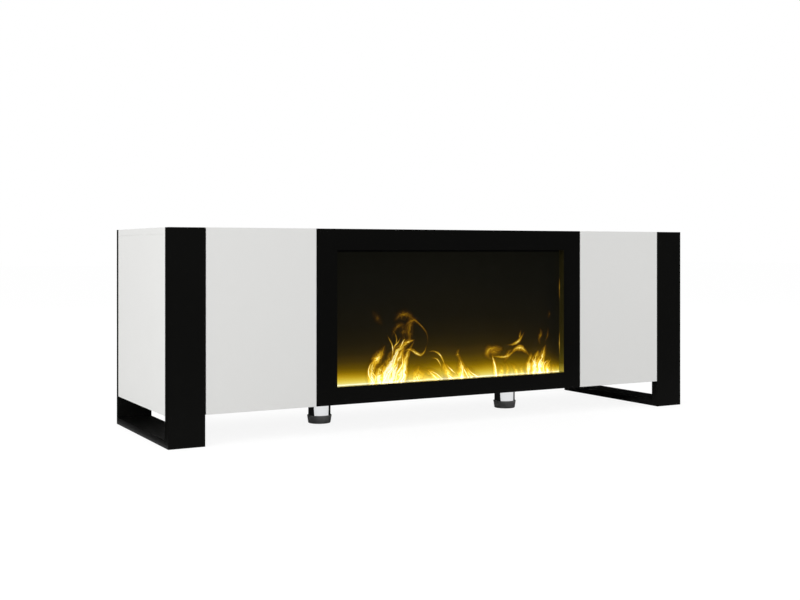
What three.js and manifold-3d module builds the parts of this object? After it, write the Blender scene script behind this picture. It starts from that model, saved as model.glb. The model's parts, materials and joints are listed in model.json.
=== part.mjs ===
// Fireplace TV stand: two push-open cabinets on either side of an electric fire insert, carried by a
// board sled under each end and two round legs in the middle.
// Millimetres, +Z up, the front towards -Y, the origin on the floor under the middle of the stand.

import * as THREE from 'three';
import { mergeVertices } from 'three/addons/utils/BufferGeometryUtils.js';
import Module from 'manifold-3d';

const wasm = await Module();
wasm.setup();

// The whole stand
const width = 1580;
const depth = 450;
const height = 518;
const floorGap = 75;              // from the floor to the underside of the body
const frontGap = 2;               // open joint between two front elements
const fit = 0.3;                  // clearance between pieces that slide or seat in one another
const overrun = 1;                // how far a cutting tool runs past the face it opens

// Boards
const board = 16;                 // carcass and back posts
const railThick = 18;             // floor rails
const postWidth = 90;
const postThick = 25;             // front posts and the fire's bezel
const doorWidth = 286;
const doorThick = 22;
const backThick = 3;
const backInset = 10;             // back panel's distance from the carcass's rear edge
const grooveDepth = 5;
const shelfPlay = 1;
const shelfSetback = 14;
const cableHoleSide = 153;        // panel left beside, above and below the cable hole
const cableHoleEnd = 75.5;

// Shelf pins
const pinRadius = 2.5;
const pinHoleDepth = 7;
const pinInset = 62;              // from a shelf's front or rear edge
const ledgeLength = 9;
const ledgeWidth = 11;
const ledgeThick = 5;

// Concealed cup hinges, in a frame on the door's outer front edge: u across the door, v to the rear
const hingeInset = 90;            // from a door's end to the hinge's centre
const cupRadius = 20;
const cupWall = 1;
const cupDepth = 13.5;
const cupEdge = 3;                // door left beside the cup
const cupFlangeWidth = 28;
const cupFlangeHeight = 66;
const cupFlangeThick = 1.5;
const cupPivotU = 16;
const cupPivotDrop = 8;           // below the door's rear face
const armPivotU = 54;
const armPivotRise = 17;          // behind the carcass's front edge
const lugWidth = 7;
const lugThick = 2.5;
const linkWidth = 10;
const linkThick = 3;
const linkKneeReach = 16;         // from the cup pivot to the bend
const linkKneeAngle = 22 * Math.PI / 180;
const cupEyeRadius = 3.5;
const cupPinRadius = 1.5;
const armEyeRadius = 4.5;
const armPinRadius = 2;
const armPlateNear = 10;          // on the back of the post, from the door's edge
const armPlateFar = 52;
const armPlateHeight = 44;
const armPlateThick = 2.5;
const armWall = 3;

// Push latches
const latchSize = 14;
const latchLength = 70;
const latchRecess = 4;            // housing behind the carcass's front edge
const latchDrop = 34;             // centre below the top panel
const plungerRadius = 3.5;
const plungerHeadRadius = 5;
const plungerHeadThick = 3;
const plungerLength = 40;

// Middle legs
const legSpacing = 602;
const legShift = 5;               // the pair's middle, left of the stand's middle
const legSetForward = 15;         // from the middle of the depth
const legRadius = 30;
const legWall = 1.5;
const legPlateRadius = 45;
const legPlateThick = 3;
const footRimRadius = 33;
const footHeight = 21;
const footFloor = 6;
const footEdge = 1.5;

// Fire insert
const bezelSide = 56;
const bezelTop = 54;
const bezelBottom = 45;
const jambDepth = 20;             // from the bezel's face to the glass
const glassRebate = 8;
const glassThick = 4;
const caseGap = 3;
const caseHeadroom = 16;          // between the case and the top panel
const caseDepth = 180;
const caseWall = 1.5;
const screenSetback = 3;          // behind the bezel's rear face
const screenThick = 2;
const lightInset = 4;             // lamp strip's end inside the window's side
const lightWidth = 12;
const lightThick = 1.6;
const lightSetback = 10;          // behind the screen
const lampCount = 24;
const lampLength = 6;
const lampWidth = 4;
const lampRise = 2;

// Flame spindle
const spindleSetback = 50;        // behind the carcass's front edge
const spindleRise = 58;           // above the case's floor
const spindleRadius = 4;
const spindleSeat = 12;           // length held at each end
const vaneCount = 18;
const vaneLength = 30;
const vaneWidth = 34;
const vaneThick = 1;
const vaneTurn = 1.9;             // radians from one vane to the next
const bearingThick = 14;
const bearingWidth = 26;
const bearingCrown = 14;          // above the spindle's axis
const motorRadius = 22;
const motorLength = 34;
const motorFootWidth = 30;

// Rear cover and what it holds
const serviceWidth = 220;
const serviceHeight = 130;
const serviceRise = 190;          // middle above the case's floor
const coverLap = 15;
const coverThick = 1.5;
const ventCount = 9;
const ventWidth = 5;
const ventHeight = 44;
const ventPitch = 16;
const ventRise = 30;
const socketOffset = 60;          // inlet and switch either side of the middle
const socketDrop = 32;
const inletWidth = 27;
const inletHeight = 20;
const inletLength = 26;
const inletFlange = 10;
const flangeThick = 2;
const inletWall = 1.5;
const inletDepth = 17;
const bladeWidth = 2;
const bladeHeight = 5;
const bladeLength = 14;
const bladePitch = 7;
const switchWidth = 15;
const switchHeight = 22;
const switchLength = 20;
const switchFlange = 4;
const rockerWidth = 11;
const rockerHalf = 7.5;
const rockerCrown = 1.5;
const rockerDip = 0.5;
const rockerBelly = 5;
const rockerBellyHalf = 5.5;
const rockerPivotDepth = 2;
const rockerTilt = 8 * Math.PI / 180;
const rockerWell = 8.7;
const rockerPinRadius = 1;

// Control board
const boardLength = 150;          // upright
const boardWidth = 90;
const boardThick = 1.6;
const boardInset = 12;            // from the case's back wall
const postRadius = 3;
const postLength = 8;
const postInset = 8;
const coilSize = 34;
const coilHeight = 26;
const capacitorRadius = 8;
const capacitorHeight = 22;
const terminalLength = 60;
const terminalSize = 10;

// Facets
const roundSteps = 40;
const smallSteps = 16;
const weldStep = 0.0001;

// Places that follow from the sizes
const half = width / 2;
const frontY = -depth / 2;
const backY = depth / 2;
const carcassFront = frontY + postThick;
const carcassBack = backY - board;
const carcassTop = height - board;
const carcassFloor = floorGap + board;
const doorOuter = half - postWidth - frontGap;
const doorInner = doorOuter - doorWidth;
const bezelHalf = doorInner - frontGap;
const sideInner = half - board;
const partitionOuter = (doorInner + bezelHalf + board) / 2;
const partitionInner = partitionOuter - board;
const backPanelRear = carcassBack - backInset;
const backPanelFront = backPanelRear - backThick;
const shelfBottom = (carcassFloor + carcassTop - board) / 2;
const cupPivotV = doorThick - cupPivotDrop;
const armPivotV = postThick + armPivotRise;
const windowHalf = bezelHalf - bezelSide;
const windowBottom = floorGap + bezelBottom;
const windowTop = height - bezelTop;
const caseHalf = partitionInner - caseGap;
const caseInner = caseHalf - caseWall;
const caseBack = carcassFront + caseDepth;
const caseFloor = carcassFloor + caseWall;
const caseTop = carcassTop - caseHeadroom;
const spindleY = carcassFront + spindleSetback;
const spindleZ = caseFloor + spindleRise;
const serviceZ = caseFloor + serviceRise;

const sides = [['left', -1], ['right', 1]];

// Colours and finishes
const finishes = {
  blackBoard: [0x101010, 0.45, 0],
  whiteBoard: [0xe4e4e2, 0.4, 0],
  whiteDoor: [0xdedddb, 0.35, 0],
  backBoard: [0xd6d4cf, 0.8, 0],
  nickel: [0xb9bab8, 0.3, 1],
  zincPin: [0xa8aaac, 0.35, 1],
  greyPlastic: [0x8d8f90, 0.55, 0],
  chrome: [0xd5d7d9, 0.08, 1],
  footPlastic: [0x3c3c3c, 0.5, 0],
  blackSteel: [0x121212, 0.35, 0.2],
  glass: [0x14130f, 0.05, 0],
  flameScreen: [0x3a2c10, 0.4, 0],
  zincSheet: [0x9a9da0, 0.45, 1],
  circuit: [0x1f5a34, 0.5, 0],
  mirrorSheet: [0xc9cccf, 0.15, 1],
  blackPlastic: [0x161616, 0.5, 0],
};

// A closed geometry as a solid that can be joined and cut
function solidOf(geometry) {
  const bare = geometry.clone();
  bare.deleteAttribute('normal');
  bare.deleteAttribute('uv');
  const merged = mergeVertices(bare, weldStep);
  const vertProperties = new Float32Array(merged.attributes.position.array);
  const triVerts = new Uint32Array(merged.index.array);
  return new wasm.Manifold(new wasm.Mesh({ numProp: 3, vertProperties, triVerts }));
}

function geometryOf(solid) {
  const mesh = solid.getMesh();
  const geometry = new THREE.BufferGeometry();
  geometry.setAttribute('position', new THREE.BufferAttribute(mesh.vertProperties, 3));
  geometry.setIndex(new THREE.BufferAttribute(mesh.triVerts, 1));
  geometry.computeVertexNormals();
  return geometry;
}

function join(first, ...others) {
  let solid = solidOf(first);
  for (const other of others) {
    solid = solid.add(solidOf(other));
  }
  return geometryOf(solid);
}

function cut(first, ...tools) {
  let solid = solidOf(first);
  for (const tool of tools) {
    solid = solid.subtract(solidOf(tool));
  }
  return geometryOf(solid);
}

// A box between two values on each axis
function block([x0, x1], [y0, y1], [z0, z1]) {
  const box = new THREE.BoxGeometry(x1 - x0, y1 - y0, z1 - z0);
  return box.translate((x0 + x1) / 2, (y0 + y1) / 2, (z0 + z1) / 2);
}

const around = (middle, size) => [middle - size / 2, middle + size / 2];
const grow = ([low, high], by) => [low - by, high + by];
const inOrder = (a, b) => (a < b ? [a, b] : [b, a]);
const mirrored = (side, near, far) => inOrder(side * near, side * far);

// Round rods along each axis, between two values on it
function rodX(radius, [x0, x1], y, z, steps = smallSteps) {
  const rod = new THREE.CylinderGeometry(radius, radius, x1 - x0, steps);
  return rod.rotateZ(Math.PI / 2).translate((x0 + x1) / 2, y, z);
}

function rodY(radius, x, [y0, y1], z, steps = smallSteps) {
  const rod = new THREE.CylinderGeometry(radius, radius, y1 - y0, steps);
  return rod.translate(x, (y0 + y1) / 2, z);
}

function rodZ(radius, x, y, [z0, z1], steps = smallSteps) {
  const rod = new THREE.CylinderGeometry(radius, radius, z1 - z0, steps);
  return rod.rotateX(Math.PI / 2).translate(x, y, (z0 + z1) / 2);
}

// A flat bar between two points of the XY plane, wide along Z
function bar([x0, y0], [x1, y1], thick, wide) {
  const strip = new THREE.BoxGeometry(Math.hypot(x1 - x0, y1 - y0), thick, wide);
  strip.rotateZ(Math.atan2(y1 - y0, x1 - x0));
  return strip.translate((x0 + x1) / 2, (y0 + y1) / 2, 0);
}

function turned(points) {
  const profile = points.map(([radius, z]) => new THREE.Vector2(radius, z));
  return new THREE.LatheGeometry(profile, roundSteps).rotateX(Math.PI / 2);
}

// Adds a piece, with its mesh centred on itself and the place in its position
function add(group, name, geometry, finish) {
  const [color, roughness, metalness] = finishes[finish];
  const material = new THREE.MeshStandardMaterial({ color, roughness, metalness });
  geometry.computeBoundingBox();
  const centre = geometry.boundingBox.getCenter(new THREE.Vector3());
  geometry.translate(-centre.x, -centre.y, -centre.z);
  const mesh = new THREE.Mesh(geometry, material);
  mesh.name = name;
  mesh.position.copy(centre);
  group.add(mesh);
  return mesh;
}

const stand = new THREE.Group();
const lengthwise = [carcassFront, carcassBack];

// Sled under each end: front post, floor rail and back post
function addSled(name, side) {
  const across = mirrored(side, half - postWidth, half);
  const sled = new THREE.Group();
  const full = [0, height];
  add(sled, `${name}_front_post`, block(across, [frontY, carcassFront], full), 'blackBoard');
  add(sled, `${name}_back_post`, block(across, [carcassBack, backY], full), 'blackBoard');
  add(sled, `${name}_floor_rail`, block(across, lengthwise, [0, railThick]), 'blackBoard');
  stand.add(sled);
}

// Three bays: left cabinet, fire, right cabinet
const bays = {
  left: [-sideInner, -partitionOuter],
  middle: [-partitionInner, partitionInner],
  right: [partitionOuter, sideInner],
};
const bayHeight = [carcassFloor, carcassTop];

function grooveFor(bay) {
  const thickness = grow([backPanelFront, backPanelRear], fit);
  return block(grow(bay, grooveDepth), thickness, grow(bayHeight, grooveDepth));
}

function shelfSpan() {
  return [carcassFront + shelfSetback, backPanelFront - shelfSetback];
}

// Holes for the shelf pins in a wall, which lie to one side of it
function pinHoles(wallX, into) {
  const [shelfFront, shelfRear] = shelfSpan();
  const span = inOrder(wallX - into * overrun, wallX + into * pinHoleDepth);
  const holes = [];
  for (const y of [shelfFront + pinInset, shelfRear - pinInset]) {
    holes.push(rodX(pinRadius + fit, span, y, shelfBottom - pinRadius));
  }
  return holes;
}

function addCarcass() {
  const carcass = new THREE.Group();
  const grooves = Object.values(bays).map(grooveFor);
  const top = block([-half, half], lengthwise, [carcassTop, height]);
  add(carcass, 'top_panel', cut(top, ...grooves), 'whiteBoard');
  const bottom = block([-sideInner, sideInner], lengthwise, [floorGap, carcassFloor]);
  add(carcass, 'bottom_panel', cut(bottom, ...grooves), 'whiteBoard');
  for (const [name, side] of sides) {
    const outer = block(mirrored(side, sideInner, half), lengthwise, [floorGap, carcassTop]);
    const outerHoles = pinHoles(side * sideInner, side);
    add(carcass, `${name}_side_panel`, cut(outer, ...grooves, ...outerHoles), 'whiteBoard');
    const inner = block(mirrored(side, partitionInner, partitionOuter), lengthwise, bayHeight);
    const innerHoles = pinHoles(side * partitionOuter, -side);
    add(carcass, `${name}_partition`, cut(inner, ...grooves, ...innerHoles), 'whiteBoard');
  }
  for (const [name, bay] of Object.entries(bays)) {
    const tongue = grooveDepth - fit;
    let panel = block(grow(bay, tongue), [backPanelFront, backPanelRear], grow(bayHeight, tongue));
    if (name === 'middle') {
      const through = grow([backPanelFront, backPanelRear], overrun);
      const hole = block(grow(bay, -cableHoleSide), through, grow(bayHeight, -cableHoleEnd));
      panel = cut(panel, hole);
    }
    add(carcass, `${name}_back_panel`, panel, 'backBoard');
  }
  stand.add(carcass);
}

// A shelf on four pins, each a stub in the wall and a flat ledge under the shelf
function addShelf(name, bay) {
  const shelf = new THREE.Group();
  const [shelfFront, shelfRear] = shelfSpan();
  const across = grow(bay, -shelfPlay);
  const level = [shelfBottom, shelfBottom + board];
  add(shelf, `${name}_shelf`, block(across, [shelfFront, shelfRear], level), 'whiteBoard');
  const stubReach = pinHoleDepth - fit;
  let number = 1;
  for (const y of [shelfFront + pinInset, shelfRear - pinInset]) {
    for (const [wallX, inward] of [[bay[0], 1], [bay[1], -1]]) {
      const ends = inOrder(wallX - inward * stubReach, wallX + inward * overrun);
      const stub = rodX(pinRadius, ends, y, shelfBottom - pinRadius);
      const lip = inOrder(wallX, wallX + inward * ledgeLength);
      const ledge = block(lip, around(y, ledgeWidth), [shelfBottom - ledgeThick, shelfBottom]);
      add(shelf, `${name}_shelf_pin_${number}`, join(stub, ledge), 'zincPin');
      number += 1;
    }
  }
  stand.add(shelf);
}

const hingeHeights = [floorGap + hingeInset, height - hingeInset];

// A door with a round pocket for each hinge cup
function addDoor(name, side) {
  const rear = frontY + doorThick;
  const slab = block(mirrored(side, doorInner, doorOuter), [frontY, rear], [floorGap, height]);
  const pocketX = side * (doorOuter - cupEdge - cupRadius);
  const pockets = [];
  for (const z of hingeHeights) {
    const reach = [rear - cupDepth - fit, rear + overrun];
    pockets.push(rodY(cupRadius + fit, pocketX, reach, z, roundSteps));
  }
  add(stand, `${name}_door`, cut(slab, ...pockets), 'whiteDoor');
}

// Cup let into the door, with two lugs that carry the cup pin and a notch for the opened link
function hingeCup() {
  const centreU = cupEdge + cupRadius;
  const floorV = doorThick - cupDepth;
  const mouthV = doorThick + cupFlangeThick;
  const barrel = rodY(cupRadius, centreU, [floorV, doorThick], 0, roundSteps);
  const flangeSpan = [doorThick - fit, mouthV];
  const flange = block(around(centreU, cupFlangeWidth), [doorThick, mouthV], around(0, cupFlangeHeight));
  const sleeve = rodY(cupRadius, centreU, flangeSpan, 0, roundSteps);
  const hollow = rodY(cupRadius - cupWall, centreU, [floorV + cupWall, mouthV + overrun], 0, roundSteps);
  const notchHalf = linkWidth / 2 + fit;
  const notchU = [cupEdge - overrun, cupPivotU];
  const notch = block(notchU, [doorThick, mouthV + overrun], [-notchHalf, notchHalf]);
  const shell = cut(join(barrel, flange, sleeve), hollow, notch);
  const reach = notchHalf + lugThick;
  const lugTop = cupPivotV + cupEyeRadius;
  const lugs = [-1, 1].map((end) => {
    const ends = inOrder(end * notchHalf, end * reach);
    return block(around(cupPivotU, lugWidth), [floorV, lugTop], ends);
  });
  const pin = rodZ(cupPinRadius, cupPivotU, cupPivotV, [-reach, reach]);
  return join(shell, ...lugs, pin);
}

// Bent link between the cup pin and the arm pin
function hingeLink() {
  const knee = [
    cupPivotU + linkKneeReach * Math.cos(linkKneeAngle),
    cupPivotV + linkKneeReach * Math.sin(linkKneeAngle),
  ];
  const wide = [-linkWidth / 2, linkWidth / 2];
  const near = bar([cupPivotU, cupPivotV], knee, linkThick, linkWidth);
  const far = bar(knee, [armPivotU, armPivotV], linkThick, linkWidth);
  const bend = rodZ(linkThick / 2, ...knee, wide);
  const cupEye = rodZ(cupEyeRadius, cupPivotU, cupPivotV, wide, roundSteps);
  const armEye = rodZ(armEyeRadius, armPivotU, armPivotV, wide, roundSteps);
  const through = grow(wide, overrun);
  const cupBore = rodZ(cupPinRadius + fit, cupPivotU, cupPivotV, through);
  const armBore = rodZ(armPinRadius + fit, armPivotU, armPivotV, through);
  return cut(join(near, far, bend, cupEye, armEye), cupBore, armBore);
}

// Arm screwed to the back of the front post, reaching into the cabinet to the arm pin
function hingeArm() {
  const cheekNear = linkWidth / 2 + fit;
  const reach = cheekNear + armWall;
  const footV = postThick + fit;
  const spineV = armPivotV + armEyeRadius + fit + armWall / 2;
  const plateSpan = [-armPlateFar, -armPlateNear];
  const plate = block(plateSpan, [footV, footV + armPlateThick], around(0, armPlateHeight));
  const plateV = footV + armPlateThick / 2;
  const strutTop = [-armPlateNear + armPivotRise, spineV];
  const strut = bar([-armPlateNear - armWall, plateV], strutTop, armWall, reach * 2);
  const tip = [armPivotU + armEyeRadius, spineV];
  const spine = bar([strutTop[0] - armWall / 2, spineV], tip, armWall, reach * 2);
  const cheeks = [];
  for (const end of [-1, 1]) {
    const ends = inOrder(end * cheekNear, end * reach);
    cheeks.push(rodZ(armEyeRadius, armPivotU, armPivotV, ends, roundSteps));
    cheeks.push(block(around(armPivotU, armEyeRadius * 2), [armPivotV, spineV], ends));
  }
  const pin = rodZ(armPinRadius, armPivotU, armPivotV, [-reach, reach]);
  return join(plate, strut, spine, ...cheeks, pin);
}

// Hinges of one door; a half turn about Y makes the right-hand ones
function addHinges(name, side) {
  for (const [place, z] of [['lower', hingeHeights[0]], ['upper', hingeHeights[1]]]) {
    const hinge = new THREE.Group();
    hinge.position.set(side * doorOuter, frontY, z);
    hinge.rotation.y = side > 0 ? Math.PI : 0;
    add(hinge, `${name}_${place}_hinge_cup`, hingeCup(), 'nickel');
    add(hinge, `${name}_${place}_hinge_link`, hingeLink(), 'nickel');
    add(hinge, `${name}_${place}_hinge_arm`, hingeArm(), 'nickel');
    stand.add(hinge);
  }
}

// Push latch on the partition, its plunger against the back of the door
function addLatch(name, side) {
  const latch = new THREE.Group();
  const across = mirrored(side, partitionOuter, partitionOuter + latchSize);
  const axisX = (across[0] + across[1]) / 2;
  const axisZ = carcassTop - latchDrop;
  const housingFront = carcassFront + latchRecess;
  const body = block(across, [housingFront, housingFront + latchLength], around(axisZ, latchSize));
  const boreY = [housingFront - overrun, housingFront + plungerLength];
  const bore = rodY(plungerRadius + fit, axisX, boreY, axisZ);
  add(latch, `${name}_latch_housing`, cut(body, bore), 'greyPlastic');
  const tipY = frontY + doorThick + fit;
  const head = rodY(plungerHeadRadius, axisX, [tipY, tipY + plungerHeadThick], axisZ, roundSteps);
  const stemY = [tipY + plungerHeadThick - overrun, tipY + plungerLength];
  const stem = rodY(plungerRadius, axisX, stemY, axisZ);
  add(latch, `${name}_latch_plunger`, join(head, stem), 'greyPlastic');
  stand.add(latch);
}

// Round middle leg: a tube with its mounting plate, standing in a flared foot
function addMiddleLeg(name, side) {
  const leg = new THREE.Group();
  leg.position.set(side * legSpacing / 2 - legShift, -legSetForward, 0);
  const bore = legRadius - legWall;
  const plateUnder = floorGap - legPlateThick;
  const tube = turned([
    [bore, footFloor], [legRadius, footFloor], [legRadius, plateUnder], [legPlateRadius, plateUnder],
    [legPlateRadius, floorGap], [bore, floorGap], [bore, footFloor],
  ]);
  add(leg, `${name}_leg_tube`, tube, 'chrome');
  const seat = legRadius + fit;
  const foot = turned([
    [0, 0], [legRadius - footEdge, 0], [legRadius, footEdge], [footRimRadius, footHeight - footEdge],
    [footRimRadius - footEdge / 2, footHeight], [seat, footHeight], [seat, footFloor], [0, footFloor],
  ]);
  add(leg, `${name}_leg_foot`, foot, 'footPlastic');
  stand.add(leg);
}

// Front of the fire: bezel with a deep window, the glass in its rebate and the flame screen behind
function addFireFront(fire) {
  const slab = block([-bezelHalf, bezelHalf], [frontY, carcassFront], [floorGap, height]);
  const windowX = [-windowHalf, windowHalf];
  const windowZ = [windowBottom, windowTop];
  const window = block(windowX, grow([frontY, carcassFront], overrun), windowZ);
  const glassY = frontY + jambDepth;
  const rebateDepth = [glassY, carcassFront + overrun];
  const rebate = block(grow(windowX, glassRebate), rebateDepth, grow(windowZ, glassRebate));
  add(fire, 'bezel_frame', cut(slab, window, rebate), 'blackSteel');
  const lap = glassRebate - fit;
  const pane = block(grow(windowX, lap), [glassY + fit, glassY + fit + glassThick], grow(windowZ, lap));
  add(fire, 'front_glass', pane, 'glass');
  const screenY = carcassFront + screenSetback;
  const screenZ = [caseFloor + fit, caseTop - caseWall - fit];
  const screenX = grow([-caseInner, caseInner], -fit);
  add(fire, 'flame_screen', block(screenX, [screenY, screenY + screenThick], screenZ), 'flameScreen');
}

// Sheet case, open to the front, with a service opening in its back
function addFireCase(fire) {
  const shell = block([-caseHalf, caseHalf], [carcassFront, caseBack], [carcassFloor, caseTop]);
  const insideY = [carcassFront - overrun, caseBack - caseWall];
  const inside = block([-caseInner, caseInner], insideY, [caseFloor, caseTop - caseWall]);
  const throughY = grow([caseBack - caseWall, caseBack], overrun);
  const service = block(around(0, serviceWidth), throughY, around(serviceZ, serviceHeight));
  add(fire, 'firebox_case', cut(shell, inside, service), 'zincSheet');
}

// Strip of lamps on the case's floor, lighting the foot of the screen
function addLightStrip(fire) {
  const y = carcassFront + screenSetback + screenThick + lightSetback;
  const baseTop = caseFloor + lightThick;
  const lightHalf = windowHalf - lightInset;
  const base = block([-lightHalf, lightHalf], around(y, lightWidth), [caseFloor, baseTop]);
  const lamps = [];
  const pitch = lightHalf * 2 / lampCount;
  for (let i = 0; i < lampCount; i += 1) {
    const x = (i - (lampCount - 1) / 2) * pitch;
    lamps.push(block(around(x, lampLength), around(y, lampWidth), [caseFloor, baseTop + lampRise]));
  }
  add(fire, 'led_strip', join(base, ...lamps), 'circuit');
}

// Turning rod of bright vanes that makes the flames flicker, with its bearing and motor
function addSpindle(fire) {
  const leftEnd = -caseInner + fit;
  const rightEnd = caseInner - motorLength + spindleSeat;
  const rod = rodX(spindleRadius, [leftEnd, rightEnd], spindleY, spindleZ);
  const free = rightEnd - leftEnd - spindleSeat - bearingThick - vaneLength;
  const vanes = [];
  for (let i = 0; i < vaneCount; i += 1) {
    const x = leftEnd + bearingThick + vaneLength / 2 + free * (i + 1) / (vaneCount + 1);
    const vane = new THREE.BoxGeometry(vaneLength, vaneWidth, vaneThick);
    vanes.push(vane.rotateX(i * vaneTurn).translate(x, spindleY, spindleZ));
  }
  add(fire, 'flame_spindle', join(rod, ...vanes), 'mirrorSheet');

  const bearingX = [-caseInner, -caseInner + bearingThick];
  const stay = block(bearingX, around(spindleY, bearingWidth), [caseFloor, spindleZ + bearingCrown]);
  const bore = rodX(spindleRadius + fit, grow(bearingX, overrun), spindleY, spindleZ);
  add(fire, 'spindle_bearing', cut(stay, bore), 'greyPlastic');

  const motorX = [caseInner - motorLength, caseInner];
  const can = rodX(motorRadius, motorX, spindleY, spindleZ, roundSteps);
  const foot = block(motorX, around(spindleY, motorFootWidth), [caseFloor, spindleZ]);
  const hubX = [motorX[0] - overrun, rightEnd + fit];
  const hub = rodX(spindleRadius + fit, hubX, spindleY, spindleZ);
  add(fire, 'spindle_motor', cut(join(can, foot), hub), 'zincSheet');
}

// Circuit board on four posts on the case's left side wall
function addControlBoard(fire) {
  const rootX = -caseInner + postLength;
  const faceX = rootX + boardThick;
  const middleY = caseBack - caseWall - boardInset - boardWidth / 2;
  const plate = block([rootX, faceX], around(middleY, boardWidth), around(serviceZ, boardLength));
  const posts = [];
  for (const endY of [-1, 1]) {
    for (const endZ of [-1, 1]) {
      const y = middleY + endY * (boardWidth / 2 - postInset);
      const z = serviceZ + endZ * (boardLength / 2 - postInset);
      posts.push(rodX(postRadius, [-caseInner, faceX], y, z));
    }
  }
  const coilX = [rootX, faceX + coilHeight];
  const coilZ = serviceZ - boardLength / 2 + coilSize;
  const coil = block(coilX, around(middleY, coilSize), around(coilZ, coilSize));
  const cans = [];
  for (const place of [0, 1, 2]) {
    const z = coilZ + coilSize + place * capacitorRadius * 3;
    cans.push(rodX(capacitorRadius, [rootX, faceX + capacitorHeight], middleY, z));
  }
  const terminalX = [rootX, faceX + terminalSize];
  const terminalY = middleY - boardWidth / 2 + terminalSize;
  const terminals = block(terminalX, around(terminalY, terminalSize), around(serviceZ, terminalLength));
  add(fire, 'control_board', join(plate, ...posts, coil, ...cans, terminals), 'circuit');
}

// Rear cover with vents and the cut-outs for the mains inlet and the switch
const socketZ = serviceZ - socketDrop;
const coverFace = caseBack + coverThick;
const socketFace = coverFace + flangeThick;

function addRearCover(fire) {
  const coverY = [caseBack, coverFace];
  const coverX = around(0, serviceWidth + coverLap * 2);
  const plate = block(coverX, coverY, around(serviceZ, serviceHeight + coverLap * 2));
  const through = grow(coverY, overrun);
  const inletX = grow(around(-socketOffset, inletWidth), fit);
  const switchX = grow(around(socketOffset, switchWidth), fit);
  const tools = [
    block(inletX, through, grow(around(socketZ, inletHeight), fit)),
    block(switchX, through, grow(around(socketZ, switchHeight), fit)),
  ];
  for (let i = 0; i < ventCount; i += 1) {
    const x = (i - (ventCount - 1) / 2) * ventPitch;
    tools.push(block(around(x, ventWidth), through, around(serviceZ + ventRise, ventHeight)));
  }
  add(fire, 'rear_cover', cut(plate, ...tools), 'zincSheet');
}

// Mains inlet: a flanged well with three blades
function addInlet(fire) {
  const bodyX = around(-socketOffset, inletWidth);
  const bodyZ = around(socketZ, inletHeight);
  const flange = block(grow(bodyX, inletFlange), [coverFace, socketFace], grow(bodyZ, inletFlange / 2));
  const body = block(bodyX, [socketFace - inletLength, socketFace], bodyZ);
  const wellFloor = socketFace - inletDepth;
  const well = block(grow(bodyX, -inletWall), [wellFloor, socketFace + overrun], grow(bodyZ, -inletWall));
  const bladeY = [wellFloor - overrun, wellFloor + bladeLength];
  const blades = [];
  for (const place of [-1, 0, 1]) {
    const bladeX = around(-socketOffset + place * bladePitch, bladeWidth);
    const bladeZ = place === 0 ? socketZ + bladeWidth : socketZ;
    blades.push(block(bladeX, bladeY, around(bladeZ, bladeHeight)));
  }
  add(fire, 'mains_inlet', join(cut(join(flange, body), well), ...blades), 'blackPlastic');
}

// Rocker switch: a flanged housing and a rocker on two stub pins, at rest in its off position
function addSwitch(fire) {
  const bodyX = around(socketOffset, switchWidth);
  const bodyZ = around(socketZ, switchHeight);
  const flange = block(grow(bodyX, switchFlange), [coverFace, socketFace], grow(bodyZ, switchFlange));
  const body = block(bodyX, [socketFace - switchLength, socketFace], bodyZ);
  const pivotY = socketFace - rockerPivotDepth;
  const wellY = [pivotY - rockerBelly - rockerCrown, socketFace + overrun];
  const wellX = grow(around(socketOffset, rockerWidth), fit);
  const well = block(wellX, wellY, around(socketZ, rockerWell * 2));
  const pinHole = rodX(rockerPinRadius + fit, grow(wellX, overrun), pivotY, socketZ);
  add(fire, 'switch_housing', cut(join(flange, body), well, pinHole), 'blackPlastic');

  const crown = rockerPivotDepth + rockerCrown;
  const outline = new THREE.Shape([
    new THREE.Vector2(-rockerHalf, crown),
    new THREE.Vector2(-rockerBellyHalf, -rockerBelly),
    new THREE.Vector2(rockerBellyHalf, -rockerBelly),
    new THREE.Vector2(rockerHalf, crown),
    new THREE.Vector2(0, rockerPivotDepth + rockerDip),
  ]);
  const cap = new THREE.ExtrudeGeometry(outline, { depth: rockerWidth, bevelEnabled: false });
  cap.translate(0, 0, -rockerWidth / 2).rotateY(Math.PI / 2);
  const pins = rodX(rockerPinRadius, around(0, rockerWidth + overrun), 0, 0);
  const rocker = new THREE.Group();
  rocker.position.set(socketOffset, pivotY, socketZ);
  rocker.rotation.x = rockerTilt;
  add(rocker, 'power_rocker', join(cap, pins), 'blackPlastic');
  fire.add(rocker);
}

function addFire() {
  const fire = new THREE.Group();
  addFireFront(fire);
  addFireCase(fire);
  addLightStrip(fire);
  addSpindle(fire);
  addControlBoard(fire);
  addRearCover(fire);
  addInlet(fire);
  addSwitch(fire);
  stand.add(fire);
}

addCarcass();
for (const [name, side] of sides) {
  addSled(name, side);
  addShelf(name, bays[name]);
  addDoor(name, side);
  addHinges(name, side);
  addLatch(name, side);
  addMiddleLeg(name, side);
}
addFire();

export default stand;
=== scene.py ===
# Fireplace TV stand: finishes, rounded edges, legs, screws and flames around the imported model.
# Metres, in the model's own frame: +Z up, the front towards -Y.
import json
import math

import bpy
from mathutils import Matrix, Vector


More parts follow.
